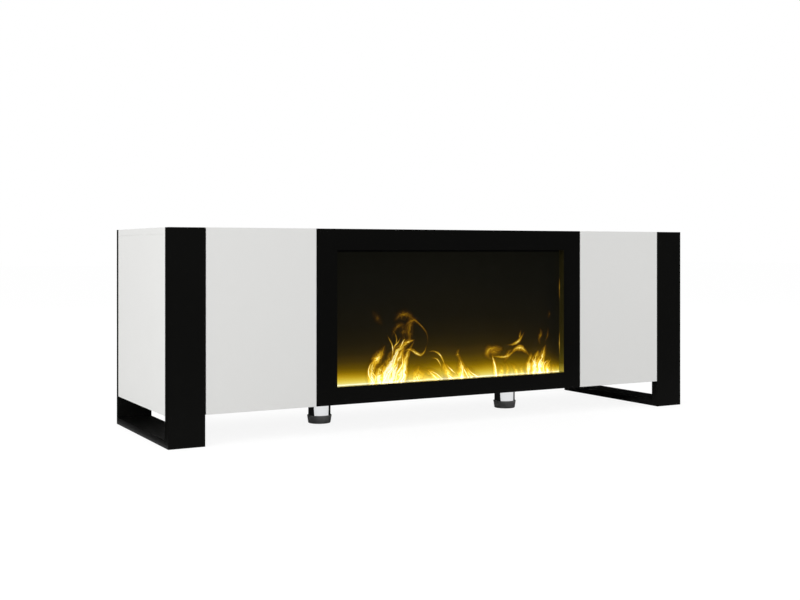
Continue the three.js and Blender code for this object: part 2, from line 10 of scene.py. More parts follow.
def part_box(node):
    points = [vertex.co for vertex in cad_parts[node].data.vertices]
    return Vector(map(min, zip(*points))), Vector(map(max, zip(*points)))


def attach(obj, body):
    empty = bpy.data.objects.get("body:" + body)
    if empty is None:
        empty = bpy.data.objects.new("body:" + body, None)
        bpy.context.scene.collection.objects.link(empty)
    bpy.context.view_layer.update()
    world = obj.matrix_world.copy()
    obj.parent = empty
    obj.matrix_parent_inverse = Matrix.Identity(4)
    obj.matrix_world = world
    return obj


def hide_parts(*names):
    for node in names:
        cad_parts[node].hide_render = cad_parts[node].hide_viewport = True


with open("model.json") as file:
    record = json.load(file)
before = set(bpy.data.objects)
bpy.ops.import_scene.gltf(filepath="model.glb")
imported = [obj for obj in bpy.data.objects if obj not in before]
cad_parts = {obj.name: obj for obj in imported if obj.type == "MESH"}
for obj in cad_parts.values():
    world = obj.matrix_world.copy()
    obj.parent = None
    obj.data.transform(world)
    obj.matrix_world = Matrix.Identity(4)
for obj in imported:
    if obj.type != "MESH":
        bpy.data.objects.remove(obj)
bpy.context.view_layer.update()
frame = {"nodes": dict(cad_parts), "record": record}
mm = 0.001
record = frame["record"]
slotOf = {row["node"]: row["material_slot"] for row in record["subparts"]}
bodyOf = {node: body for body, nodes in record["behaviour"]["bodies"].items() for node in nodes}
sides = (("left", -1), ("right", 1))
print("frame loaded:", len(frame["nodes"]), "nodes")


# Camera, at the photograph's angle

cameraFit = {
    "place": (-1.58675, -2.76515, 0.46530),
    "heading": 0.5075,            # radians from +Y towards +X, the camera held level
    "lens": 50.53,
    "sensor": 36,
    "shiftY": -0.0629,            # lowers the frame, so the horizon lies above its middle
    "reach": 80,
}


def setCamera(fit):
    bpy.ops.object.camera_add(location=fit["place"], rotation=(math.pi / 2, 0, -fit["heading"]))
    camera = bpy.context.object
    camera.name = "photoCamera"
    camera.data.lens = fit["lens"]
    camera.data.sensor_width = fit["sensor"]
    camera.data.shift_y = fit["shiftY"]
    camera.data.clip_end = fit["reach"]
    bpy.context.scene.camera = camera


setCamera(cameraFit)


# Small tools for meshes

tools = {
    "weld": 0.01 * mm,            # corners nearer than this are one
    "flat": math.radians(0.5),    # faces that turn less are one flat face
    "crease": math.radians(32),   # edges that turn more stay sharp or get a bevel
}


def pickNone():
    if bpy.context.object and bpy.context.object.mode != "OBJECT":
        bpy.ops.object.mode_set(mode="OBJECT")
    bpy.ops.object.select_all(action="DESELECT")


def pickOnly(piece):
    pickNone()
    piece.select_set(True)
    bpy.context.view_layer.objects.active = piece


def editAll(piece):
    pickOnly(piece)
    bpy.ops.object.mode_set(mode="EDIT")
    bpy.ops.mesh.select_all(action="SELECT")


def applyPlace(piece):
    pickOnly(piece)
    bpy.ops.object.transform_apply(location=True, rotation=True, scale=True)


def softenEdges(piece, width, segments):
    pickOnly(piece)
    bevel = piece.modifiers.new("softEdge", "BEVEL")
    bevel.width = width
    bevel.segments = segments
    bevel.limit_method = "ANGLE"
    bevel.angle_limit = tools["crease"]
    bevel.use_clamp_overlap = True
    bpy.ops.object.modifier_apply(modifier=bevel.name)


def smoothFaces(piece):
    pickOnly(piece)
    bpy.ops.object.shade_smooth_by_angle(angle=tools["crease"])
    weights = piece.modifiers.new("evenNormals", "WEIGHTED_NORMAL")
    weights.keep_sharp = True
    bpy.ops.object.modifier_apply(modifier=weights.name)


def settle(piece, body, slot, material, *nodes):
    piece.data.materials.clear()
    piece.data.materials.append(material)
    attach(piece, body)
    if nodes:
        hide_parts(*nodes)
    return piece


def bareCopy(node, name):
    piece = bpy.data.objects.new(name, frame["nodes"][node].data.copy())
    bpy.context.scene.collection.objects.link(piece)
    pickOnly(piece)
    if piece.data.has_custom_normals:
        bpy.ops.mesh.customdata_custom_splitnormals_clear()
    editAll(piece)
    bpy.ops.mesh.remove_doubles(threshold=tools["weld"])
    bpy.ops.mesh.dissolve_limited(angle_limit=tools["flat"])
    bpy.ops.object.mode_set(mode="OBJECT")
    return piece


def roundedCopy(node, edge, segments):
    piece = bareCopy(node, node + "_rounded")
    softenEdges(piece, edge, segments)
    smoothFaces(piece)
    return settle(piece, bodyOf[node], slotOf[node], finishes[slotOf[node]], node)


def turnedPiece(name, profile, steps=96, ring=False):
    radius, z = profile[0]
    pickNone()
    bpy.ops.mesh.primitive_circle_add(vertices=steps, radius=radius, location=(0, 0, z))
    piece = bpy.context.object
    piece.name = name
    editAll(piece)
    for nextRadius, nextZ in profile[1:]:
        bpy.ops.mesh.extrude_region_move(TRANSFORM_OT_translate={"value": (0, 0, nextZ - z)})
        scale = nextRadius / radius
        bpy.ops.transform.resize(value=(scale, scale, 1), center_override=(0, 0, nextZ))
        radius, z = nextRadius, nextZ
    bpy.ops.mesh.select_all(action="DESELECT")
    bpy.ops.mesh.select_non_manifold()
    if ring:
        bpy.ops.mesh.bridge_edge_loops()
    else:
        bpy.ops.mesh.fill_holes(sides=0)
    bpy.ops.mesh.select_all(action="SELECT")
    bpy.ops.mesh.remove_doubles(threshold=tools["weld"])
    bpy.ops.mesh.normals_make_consistent(inside=False)
    bpy.ops.object.mode_set(mode="OBJECT")
    applyPlace(piece)
    return piece


def placedCopy(master, name, place):
    piece = bpy.data.objects.new(name, master.data.copy())
    bpy.context.scene.collection.objects.link(piece)
    piece.data.transform(place)
    return piece


# Small tools for materials


def linear(red, green, blue):
    def unfold(value):
        share = value / 255
        return share / 12.92 if share <= 0.04045 else ((share + 0.055) / 1.055) ** 2.4
    return (unfold(red), unfold(green), unfold(blue), 1)


def addNode(tree, kind, **settings):
    made = tree.nodes.new(kind)
    for key, value in settings.items():
        setattr(made, key, value)
    return made


def feed(tree, socket, value):
    if isinstance(value, bpy.types.NodeSocket):
        tree.links.new(value, socket)
    else:
        socket.default_value = value


def reckon(tree, operation, *values, clamp=False):
    made = addNode(tree, "ShaderNodeMath", operation=operation, use_clamp=clamp)
    for socket, value in zip(made.inputs, values):
        feed(tree, socket, value)
    return made.outputs[0]


def noise(tree, vector, scale, detail=2, roughness=0.5):
    made = addNode(tree, "ShaderNodeTexNoise")
    feed(tree, made.inputs["Vector"], vector)
    feed(tree, made.inputs["Scale"], scale)
    feed(tree, made.inputs["Detail"], detail)
    feed(tree, made.inputs["Roughness"], roughness)
    return made.outputs[0]


def objectPlace(tree):
    return addNode(tree, "ShaderNodeTexCoord").outputs["Object"]


def ramp(tree, factor, stops):
    made = addNode(tree, "ShaderNodeValToRGB")
    elements = made.color_ramp.elements
    while len(elements) < len(stops):
        elements.new(1)
    for element, (position, colour) in zip(elements, stops):
        element.position = position
        element.color = colour
    feed(tree, made.inputs[0], factor)
    return made.outputs[0]


def blend(tree, factor, first, second):
    made = addNode(tree, "ShaderNodeMix", data_type="RGBA")
    feed(tree, made.inputs["Factor"], factor)
    feed(tree, made.inputs[6], first)
    feed(tree, made.inputs[7], second)
    return made.outputs[2]


def newGroup(name, inputs, outputs):
    group = bpy.data.node_groups.new(name, "ShaderNodeTree")
    for label, kind, value in inputs:
        socket = group.interface.new_socket(label, in_out="INPUT", socket_type=kind)
        socket.default_value = value
    for label, kind in outputs:
        group.interface.new_socket(label, in_out="OUTPUT", socket_type=kind)
    return group, addNode(group, "NodeGroupInput").outputs, addNode(group, "NodeGroupOutput").inputs


def placeGroup(tree, group, **values):
    made = addNode(tree, "ShaderNodeGroup", node_tree=group)
    for label, value in values.items():
        feed(tree, made.inputs[label], value)
    return made.outputs


def newMaterial(name):
    material = bpy.data.materials.new(name)
    material.use_nodes = True
    tree = material.node_tree
    tree.nodes.clear()
    shader = addNode(tree, "ShaderNodeBsdfPrincipled")
    output = addNode(tree, "ShaderNodeOutputMaterial")
    tree.links.new(shader.outputs[0], output.inputs["Surface"])
    return material, tree, shader.inputs


def bumpFrom(tree, sockets, height, strength, distance):
    bump = addNode(tree, "ShaderNodeBump")
    bump.inputs["Strength"].default_value = strength
    bump.inputs["Distance"].default_value = distance
    feed(tree, bump.inputs["Height"], height)
    tree.links.new(bump.outputs[0], sockets["Normal"])


# Shared effects

colourKind, valueKind = "NodeSocketColor", "NodeSocketFloat"
grey = (0.5, 0.5, 0.5, 1)


filmPattern = {
    "cloudDetail": 3,
    "smudge": (7, 4, 0.6),         # times finer than the clouds, its detail and its roughness
    "wave": 0.22,                  # share of the grain's scale for the slow waves under it
}


def makeFilm(look):
    group, given, result = newGroup("film", [
        ("Tint", colourKind, grey),
        ("Drift", valueKind, 0.02),       # how far the colour wanders, as a share
        ("Cloud", valueKind, 5),          # size of the wandering
        ("Sheen", valueKind, 0.4),
        ("SheenDrift", valueKind, 0.04),
        ("Grain", valueKind, 700),        # grains to the metre
    ], [("Color", colourKind), ("Roughness", valueKind), ("Height", valueKind)])
    place = objectPlace(group)
    cloud = noise(group, place, given["Cloud"], detail=look["cloudDetail"])
    shift = reckon(group, "MULTIPLY", reckon(group, "SUBTRACT", cloud, 0.5), given["Drift"])
    tone = addNode(group, "ShaderNodeHueSaturation")
    feed(group, tone.inputs["Color"], given["Tint"])
    feed(group, tone.inputs["Value"], reckon(group, "MULTIPLY_ADD", shift, 2, 1))
    feed(group, result["Color"], tone.outputs[0])
    finer, detail, roughness = look["smudge"]
    smudge = noise(group, place, reckon(group, "MULTIPLY", given["Cloud"], finer), detail, roughness)
    spread = reckon(group, "MULTIPLY", reckon(group, "SUBTRACT", smudge, 0.5), given["SheenDrift"])
    feed(group, result["Roughness"], reckon(group, "MULTIPLY_ADD", spread, 2, given["Sheen"]))
    fine = noise(group, place, given["Grain"])
    wave = noise(group, place, reckon(group, "MULTIPLY", given["Grain"], look["wave"]), detail=1)
    feed(group, result["Height"], reckon(group, "ADD", fine, wave))
    return group


def makeBrushed():
    group, given, result = newGroup("brushed", [
        ("Tint", colourKind, grey),
        ("Drift", valueKind, 0.05),
        ("Sheen", valueKind, 0.25),
        ("SheenDrift", valueKind, 0.1),
        ("Lines", valueKind, 900),
        ("Stretch", "NodeSocketVector", (1, 0.05, 1)),
    ], [("Color", colourKind), ("Roughness", valueKind), ("Height", valueKind)])
    scaled = addNode(group, "ShaderNodeVectorMath", operation="MULTIPLY")
    feed(group, scaled.inputs[0], objectPlace(group))
    feed(group, scaled.inputs[1], given["Stretch"])
    lines = noise(group, scaled.outputs[0], given["Lines"], detail=3, roughness=0.6)
    centred = reckon(group, "SUBTRACT", lines, 0.5)
    tone = addNode(group, "ShaderNodeHueSaturation")
    feed(group, tone.inputs["Color"], given["Tint"])
    feed(group, tone.inputs["Value"], reckon(group, "MULTIPLY_ADD", centred, given["Drift"], 1))
    feed(group, result["Color"], tone.outputs[0])
    spread = reckon(group, "MULTIPLY_ADD", centred, given["SheenDrift"], given["Sheen"])
    feed(group, result["Roughness"], spread)
    feed(group, result["Height"], lines)
    return group


film = makeFilm(filmPattern)
brushed = makeBrushed()
print("shared effects ready")


# Paints, foils and plastics, from the film group

paints = {
    "black_board": {"tint": (17, 17, 16), "drift": 0.10, "sheen": 0.38,
                    "specular": 0.02, "grain": 900, "bump": 0.10},
    "white_board": {"tint": (236, 236, 234), "drift": 0.008, "sheen": 0.42,
                    "specular": 0.3, "grain": 1100, "bump": 0.10},
    "white_door": {"tint": (234, 234, 232), "drift": 0.006, "sheen": 0.34,
                   "specular": 0.35, "grain": 600, "bump": 0.05},
    "back_board": {"tint": (226, 224, 219), "drift": 0.03, "sheen": 0.7,
                   "specular": 0.3, "grain": 500, "bump": 0.2},
    "grey_plastic": {"tint": (141, 143, 144), "drift": 0.03, "sheen": 0.5,
                     "specular": 0.4, "grain": 2500, "bump": 0.2},
    "foot_plastic": {"tint": (108, 108, 108), "drift": 0.05, "sheen": 0.42,
                     "specular": 0.5, "grain": 2200, "bump": 0.2},
    "black_steel": {"tint": (14, 14, 13), "drift": 0.08, "sheen": 0.36,
                    "specular": 0.04, "grain": 500, "bump": 0.06},
    "black_plastic": {"tint": (26, 26, 26), "drift": 0.05, "sheen": 0.45,
                      "specular": 0.35, "grain": 2500, "bump": 0.25},
}
filmDepth = 0.05 * mm


def makePaint(name, look):
    material, tree, sockets = newMaterial(name)
    made = placeGroup(tree, film, Tint=linear(*look["tint"]), Drift=look["drift"], Sheen=look["sheen"],
                      Grain=look["grain"])
    feed(tree, sockets["Base Color"], made["Color"])
    feed(tree, sockets["Roughness"], made["Roughness"])
    sockets["Specular IOR Level"].default_value = look["specular"]
    bumpFrom(tree, sockets, made["Height"], look["bump"], filmDepth)
    return material


# Metals, from the brushed group

metals = {
    "nickel": {"tint": (222, 222, 219), "drift": 0.06, "sheen": 0.4,
               "lines": 1500, "stretch": (1, 1, 0.08)},
    "zinc_pin": {"tint": (176, 178, 180), "drift": 0.15, "sheen": 0.36,
                 "lines": 2600, "stretch": (1, 1, 1)},
    "chrome": {"tint": (226, 227, 228), "drift": 0.03, "sheen": 0.05,
               "lines": 700, "stretch": (1, 1, 0.04)},
    "mirror_sheet": {"tint": (214, 216, 218), "drift": 0.08, "sheen": 0.16,
                     "lines": 900, "stretch": (0.05, 1, 1)},
}
scratchDepth = 0.01 * mm
scratchBump = 0.15
scratchSpread = 0.4                # how far a metal's roughness wanders, as a share of it


def makeMetal(name, look):
    material, tree, sockets = newMaterial(name)
    made = placeGroup(tree, brushed, Tint=linear(*look["tint"]), Drift=look["drift"], Sheen=look["sheen"],
                      SheenDrift=look["sheen"] * scratchSpread, Lines=look["lines"], Stretch=look["stretch"])
    feed(tree, sockets["Base Color"], made["Color"])
    feed(tree, sockets["Roughness"], made["Roughness"])
    sockets["Metallic"].default_value = 1
    bumpFrom(tree, sockets, made["Height"], scratchBump, scratchDepth)
    return material


zinc = {
    "cells": 95,                   # crystals to the metre
    "wander": 0.01,                # how far their borders stray, in metres
    "dark": (158, 160, 162),
    "pale": (186, 188, 190),
    "sheen": 0.42,
    "sheenDrift": 0.12,
    "bump": 0.08,
}


def makeZinc(look):
    material, tree, sockets = newMaterial("zinc_sheet")
    place = objectPlace(tree)
    wander = noise(tree, place, look["cells"])
    bent = addNode(tree, "ShaderNodeVectorMath", operation="MULTIPLY_ADD")
    feed(tree, bent.inputs[0], wander)
    bent.inputs[1].default_value = [look["wander"]] * 3
    feed(tree, bent.inputs[2], place)
    crystal = addNode(tree, "ShaderNodeTexVoronoi")
    feed(tree, crystal.inputs["Vector"], bent.outputs[0])
    crystal.inputs["Scale"].default_value = look["cells"]
    pick = addNode(tree, "ShaderNodeSeparateColor")
    feed(tree, pick.inputs[0], crystal.outputs["Color"])
    stops = ((0, linear(*look["dark"])), (1, linear(*look["pale"])))
    feed(tree, sockets["Base Color"], ramp(tree, pick.outputs[0], stops))
    rough = reckon(tree, "MULTIPLY_ADD", pick.outputs[1], look["sheenDrift"], look["sheen"])
    feed(tree, sockets["Roughness"], rough)
    sockets["Metallic"].default_value = 1
    bumpFrom(tree, sockets, crystal.outputs["Distance"], look["bump"], scratchDepth)
    return material


circuitLook = {
    "mask": (22, 84, 48),
    "track": (44, 122, 66),
    "pitch": 260,
    "trackWidth": 0.08,
    "sheen": 0.25,
    "sheenDrift": 0.2,
    "smudges": 120,
    "bump": 0.3,
}


def makeCircuit(look):
    material, tree, sockets = newMaterial("circuit")
    tracks = addNode(tree, "ShaderNodeTexBrick")
    feed(tree, tracks.inputs["Vector"], objectPlace(tree))
    tracks.inputs["Scale"].default_value = look["pitch"]
    tracks.inputs["Color1"].default_value = linear(*look["mask"])
    tracks.inputs["Color2"].default_value = linear(*look["mask"])
    tracks.inputs["Mortar"].default_value = linear(*look["track"])
    tracks.inputs["Mortar Size"].default_value = look["trackWidth"]
    feed(tree, sockets["Base Color"], tracks.outputs["Color"])
    smudges = noise(tree, objectPlace(tree), look["smudges"])
    feed(tree, sockets["Roughness"], reckon(tree, "MULTIPLY_ADD", smudges, look["sheenDrift"], look["sheen"]))
    bumpFrom(tree, sockets, tracks.outputs["Fac"], look["bump"], scratchDepth)
    return material


glassLook = {"tint": (246, 246, 243), "drift": 0.004, "index": 1.45, "specular": 0.3}


def makeGlass(look):
    material, tree, sockets = newMaterial("fire_glass")
    made = placeGroup(tree, film, Tint=linear(*look["tint"]), Drift=look["drift"])
    feed(tree, sockets["Base Color"], made["Color"])
    sockets["Roughness"].default_value = 0
    sockets["Transmission Weight"].default_value = 1
    sockets["IOR"].default_value = look["index"]
    sockets["Specular IOR Level"].default_value = look["specular"]
    return material


# The lit screen: a gold glow that rises from the sill and dies into a dark olive

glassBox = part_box("front_glass")
glassLap = 7.7 * mm                # glass hidden in the bezel's rebate on each side
window = {
    "left": glassBox[0].x + glassLap,
    "right": glassBox[1].x - glassLap,
    "sill": glassBox[0].z + glassLap,
    "head": glassBox[1].z - glassLap,
}
glow = {
    "reach": 0.344,                # the ramp's whole height
    "stops": (                     # height above the sill in mm, and the colour seen there
        (0, (255, 252, 208)),
        (4, (252, 235, 128)),
        (8, (245, 219, 90)),
        (12, (231, 202, 64)),
        (18, (207, 171, 34)),
        (25, (170, 134, 9)),
        (32, (134, 104, 3)),
        (40, (104, 80, 5)),
        (56, (69, 53, 10)),
        (75, (46, 36, 11)),
        (100, (33, 27, 12)),
        (140, (24, 21, 12)),
        (220, (19, 18, 13)),
        (344, (15, 15, 11)),
    ),
    "unlit": (3, 3, 3),
    "base": (8, 8, 7),             # the screen's own black
    "sheen": 0.6,
    "specular": 0.1,
    "waves": 7,                    # waves of the glow's edge to the metre
    "flicker": 0.064,              # the glow's edge wanders by up to half of this share of its reach
    "swell": 0.26,                 # taller glow in the middle of the window
    "dim": (300 * mm, 352 * mm, 0.42),     # where the glow sinks at the right end, and by how much
    "border": 4.5 * mm,            # unlit band under the head
    "lit": (-345 * mm, 357 * mm),  # the lit picture's two ends
    "ember": (3 * mm, 0.5),        # height and extra strength of the bright line at the sill
    "paintedRevealStops": (                  # the strip beyond the right end, painted in the colours of the glow-lit reveal: painted light
        (0, (164, 149, 52)),
        (10, (140, 125, 36)),
        (26, (84, 71, 14)),
        (52, (66, 57, 15)),
        (82, (52, 43, 12)),
        (140, (39, 33, 12)),
        (205, (34, 29, 12)),
        (344, (24, 22, 12)),
    ),
}


def makeScreen(look):
    material, tree, sockets = newMaterial("flame_screen")
    place = objectPlace(tree)
    split = addNode(tree, "ShaderNodeSeparateXYZ")
    feed(tree, split.inputs[0], place)
    rise = reckon(tree, "DIVIDE", reckon(tree, "SUBTRACT", split.outputs[2], window["sill"]), look["reach"])
    aside = reckon(tree, "DIVIDE", reckon(tree, "ABSOLUTE", split.outputs[0]), window["right"])
    swell = reckon(tree, "MULTIPLY_ADD", reckon(tree, "SUBTRACT", 1, aside, clamp=True), look["swell"], 1)
    drift = reckon(tree, "SUBTRACT", noise(tree, place, look["waves"], detail=1), 0.5)
    edge = reckon(tree, "MULTIPLY", drift, reckon(tree, "MINIMUM", rise, look["flicker"]))
    start, end, loss = look["dim"]
    sunk = reckon(tree, "DIVIDE", reckon(tree, "SUBTRACT", split.outputs[0], start), end - start, clamp=True)
    tall = reckon(tree, "MULTIPLY", swell, reckon(tree, "MULTIPLY_ADD", sunk, -loss, 1))
    wavy = reckon(tree, "ADD", reckon(tree, "DIVIDE", rise, tall), edge)
    share = reckon(tree, "MAXIMUM", wavy, 0, clamp=True)
    stops, paintedRevealStops = [[(height * mm / look["reach"], linear(*colour)) for height, colour in look[name]]
                       for name in ("stops", "paintedRevealStops")]
    lit = reckon(tree, "LESS_THAN", split.outputs[2], window["head"] - look["border"])
    for way, limit in zip(("GREATER_THAN", "LESS_THAN"), look["lit"]):
        lit = reckon(tree, "MULTIPLY", lit, reckon(tree, way, split.outputs[0], limit))
    # beyond the lit picture's right end the screen carries the reveal's painted glow
    beyond = reckon(tree, "GREATER_THAN", split.outputs[0], look["lit"][1])
    unlit = blend(tree, beyond, linear(*look["unlit"]), ramp(tree, rise, paintedRevealStops))
    emberHeight, emberGain = look["ember"]
    near = reckon(tree, "SUBTRACT", 1, reckon(tree, "DIVIDE", rise, emberHeight / look["reach"]), clamp=True)
    level = reckon(tree, "MULTIPLY_ADD", near, emberGain / (1 + emberGain), 1 / (1 + emberGain))
    scaled = addNode(tree, "ShaderNodeVectorMath", operation="SCALE")
    feed(tree, scaled.inputs[0], blend(tree, lit, unlit, ramp(tree, share, stops)))
    feed(tree, scaled.inputs["Scale"], level)
    feed(tree, sockets["Emission Color"], scaled.outputs[0])
    sockets["Emission Strength"].default_value = 1 + emberGain
    sockets["Base Color"].default_value = linear(*look["base"])
    sockets["Roughness"].default_value = look["sheen"]
    sockets["Specular IOR Level"].default_value = look["specular"]
    return material


# The bezel's reveal: a bronze lacquer with the screen's glow painted on as emission, a painted reflection
# strongest near the sill

reveal = {
    "tint": (37, 33, 15),
    "drift": 0.05,
    "sheen": 0.2,
    "paintedGlowStops": (                    # height above the sill in mm, and the painted reflection of the glow there
        (0, (70, 60, 12)),
        (2, (150, 135, 45)),
        (10, (138, 123, 34)),
        (26, (76, 64, 2)),
        (52, (52, 46, 3)),
        (82, (37, 30, 1)),
        (140, (21, 17, 0)),
        (205, (13, 11, 0)),
        (344, (0, 0, 0)),
    ),
}


def makeReveal(look):
    material, tree, sockets = newMaterial("reveal")
    made = placeGroup(tree, film, Tint=linear(*look["tint"]), Drift=look["drift"], Sheen=look["sheen"])
    feed(tree, sockets["Base Color"], made["Color"])
    feed(tree, sockets["Roughness"], made["Roughness"])
    split = addNode(tree, "ShaderNodeSeparateXYZ")
    feed(tree, split.inputs[0], objectPlace(tree))
    above = reckon(tree, "SUBTRACT", split.outputs[2], window["sill"])
    rise = reckon(tree, "DIVIDE", above, glow["reach"], clamp=True)
    stops = [(height * mm / glow["reach"], linear(*colour)) for height, colour in look["paintedGlowStops"]]
    # painted reflection: the glow's light on the reveal is emission, set by height above the sill
    feed(tree, sockets["Emission Color"], ramp(tree, rise, stops))
    sockets["Emission Strength"].default_value = 1
    return material


# Flame strands: thin sheets of light, bright where they are hot, clear at their sides and tips

flameStops = (
    (0.00, (0, 0, 0)),
    (0.12, (58, 36, 4)),
    (0.30, (128, 88, 8)),
    (0.50, (196, 150, 24)),
    (0.70, (240, 205, 72)),
    (0.88, (255, 240, 160)),
    (1.00, (255, 252, 226)),
)
flameLight = {
    "cover": 0.35,                 # a thin cover and a strong glow add up where strands cross
    "strength": 3.6,
    "sway": (70, 0.5),             # waves to the metre along a strand, and how far they bend it
    "softness": (0.75, 0.5),       # how the light falls off from the bent and from the straight middle
    "fade": 0.75,                  # and towards the tip
    "threads": (3.2, 1.3, 43),     # threads across, along and from strand to strand
    "threadScale": 2.4,
    "threadWidth": 6,
    "gain": (0.75, 0.6),           # light of the threads and of the body between them
}


def makeFlame(look):
    material, tree, sockets = newMaterial("flames")
    along = addNode(tree, "ShaderNodeSeparateXYZ")
    feed(tree, along.inputs[0], addNode(tree, "ShaderNodeTexCoord").outputs["UV"])
    across, up = along.outputs[0], along.outputs[1]
    heat = addNode(tree, "ShaderNodeAttribute", attribute_name="warmth").outputs["Fac"]

    def fromMiddle(value):         # 1 in the strand's middle and 0 at its sides
        away = reckon(tree, "ABSOLUTE", reckon(tree, "MULTIPLY_ADD", value, 2, -1))
        return reckon(tree, "SUBTRACT", 1, away, clamp=True)

    waves, bend = look["sway"]
    sway = reckon(tree, "SUBTRACT", noise(tree, objectPlace(tree), waves), 0.5)
    bent = reckon(tree, "MULTIPLY_ADD", sway, bend, across)
    liftPower, sidePower = look["softness"]
    lift = reckon(tree, "POWER", fromMiddle(bent), liftPower)
    side = reckon(tree, "POWER", fromMiddle(across), sidePower)
    fade = reckon(tree, "POWER", reckon(tree, "SUBTRACT", 1, up, clamp=True), look["fade"])
    strands = addNode(tree, "ShaderNodeCombineXYZ")
    for socket, value, share in zip(strands.inputs, (bent, up, heat), look["threads"]):
        feed(tree, socket, reckon(tree, "MULTIPLY", value, share))
    ridges = noise(tree, strands.outputs[0], look["threadScale"])
    width = look["threadWidth"]
    away = reckon(tree, "ABSOLUTE", reckon(tree, "MULTIPLY_ADD", ridges, width, -width / 2))
    thread = reckon(tree, "MAXIMUM", reckon(tree, "SUBTRACT", 1, away), 0)
    body = reckon(tree, "MULTIPLY", reckon(tree, "MULTIPLY", reckon(tree, "MULTIPLY", lift, side), fade), heat)
    threadGain, bodyGain = look["gain"]
    gain = reckon(tree, "MULTIPLY_ADD", thread, threadGain, bodyGain)
    level = reckon(tree, "MULTIPLY", body, gain, clamp=True)
    stops = [(share, linear(*colour)) for share, colour in flameStops]
    feed(tree, sockets["Emission Color"], ramp(tree, level, stops))
    cover = reckon(tree, "MULTIPLY", reckon(tree, "POWER", level, 0.5), look["cover"], clamp=True)
    feed(tree, sockets["Alpha"], cover)
    sockets["Emission Strength"].default_value = look["strength"]
    sockets["Base Color"].default_value = (0, 0, 0, 1)
    sockets["Specular IOR Level"].default_value = 0
    sockets["Roughness"].default_value = 1
    return material


finishes = {name: makePaint(name, look) for name, look in paints.items()}
finishes.update({name: makeMetal(name, look) for name, look in metals.items()})
finishes["zinc_sheet"] = makeZinc(zinc)
finishes["circuit"] = makeCircuit(circuitLook)
finishes["fire_glass"] = makeGlass(glassLook)
finishes["flame_screen"] = makeScreen(glow)
finishes["reveal"] = makeReveal(reveal)
flameFinish = makeFlame(flameLight)
for name, node in frame["nodes"].items():
    node.data.materials.clear()
    node.data.materials.append(finishes[slotOf[name]])
print("finishes ready:", len(finishes) + 1)


# Boards and housings with their edges broken, as cut boards and moulded parts have them

edges = {
    "black_board": (0.4, 2),
    "white_board": (0.5, 2),
    "white_door": (1.0, 3),
    "back_board": (0.3, 1),
    "black_steel": (0.5, 2),
    "nickel": (0.25, 2),
    "zinc_pin": (0.4, 2),
    "grey_plastic": (0.5, 2),
    "black_plastic": (0.4, 2),
}


def roundBoards():
    for name in list(frame["nodes"]):
        if slotOf[name] in edges:
            width, segments = edges[slotOf[name]]
            roundedCopy(name, width * mm, segments)


roundBoards()


revealTurn = 0.3                   # the opening's faces turn less than this to the front or back


def paintReveal():
    bezel = bpy.data.objects["bezel_frame_rounded"]
    bezel.data.materials.append(finishes["reveal"])
    # the opening's faces take the reveal finish with its painted glow
    for face in bezel.data.polygons:
        inside = window["left"] - mm < face.center.x < window["right"] + mm
        within = window["sill"] - mm < face.center.z < window["head"] + mm
        if inside and within and abs(face.normal.y) < revealTurn:
            face.material_index = 1


paintReveal()
print("edges rounded")


# Middle legs: a polished tube with its plate, and a moulded foot that flares to its rim

legShape = {
    "tube": 2 / 3,                 # the tube's radius as a share of its plate's
    "wall": 1.5 * mm,
    "plate": 3 * mm,
    "tubeStep": 0.4 * mm,
    "footEdge": 0.8 * mm,
    "footLip": 0.5 * mm,
    "seam": 0.3 * mm,
    "screwCircle": 38 * mm,
}


def buildLeg(name, look):
    tubeLow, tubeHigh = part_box(name + "_leg_tube")
    footLow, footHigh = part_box(name + "_leg_foot")
    centre = Matrix.Translation(((tubeLow.x + tubeHigh.x) / 2, (tubeLow.y + tubeHigh.y) / 2, 0))
    plateRadius = (tubeHigh.x - tubeLow.x) / 2
    rimRadius = (footHigh.x - footLow.x) / 2
    radius = plateRadius * look["tube"]
    bore = radius - look["wall"]
    under = tubeHigh.z - look["plate"]
    tube = turnedPiece(name + "_leg_polished", [
        (bore, tubeLow.z), (radius, tubeLow.z), (radius, under), (plateRadius, under),
        (plateRadius, tubeHigh.z), (bore, tubeHigh.z),
    ], ring=True)
    tube.data.transform(centre)
    softenEdges(tube, look["tubeStep"], 3)
    smoothFaces(tube)
    settle(tube, "root", "chrome", finishes["chrome"], name + "_leg_tube")
    seat = radius + look["seam"]
    foot = turnedPiece(name + "_foot_moulded", [
        (radius - look["footEdge"], footLow.z), (radius, footLow.z + look["footEdge"]),
        (rimRadius, footHigh.z - look["footEdge"]), (rimRadius, footHigh.z), (seat, footHigh.z),
        (seat, tubeLow.z),
    ])
    foot.data.transform(centre)
    softenEdges(foot, look["footLip"], 3)
    smoothFaces(foot)
    settle(foot, "root", "foot_plastic", finishes["foot_plastic"], name + "_leg_foot")


for name, side in sides:
    buildLeg(name, legShape)
print("legs ready")


# Flames: strands of light standing between the glass and the screen
# A stroke is its points in mm, across from the window's middle and up from the sill, then its width and heat.

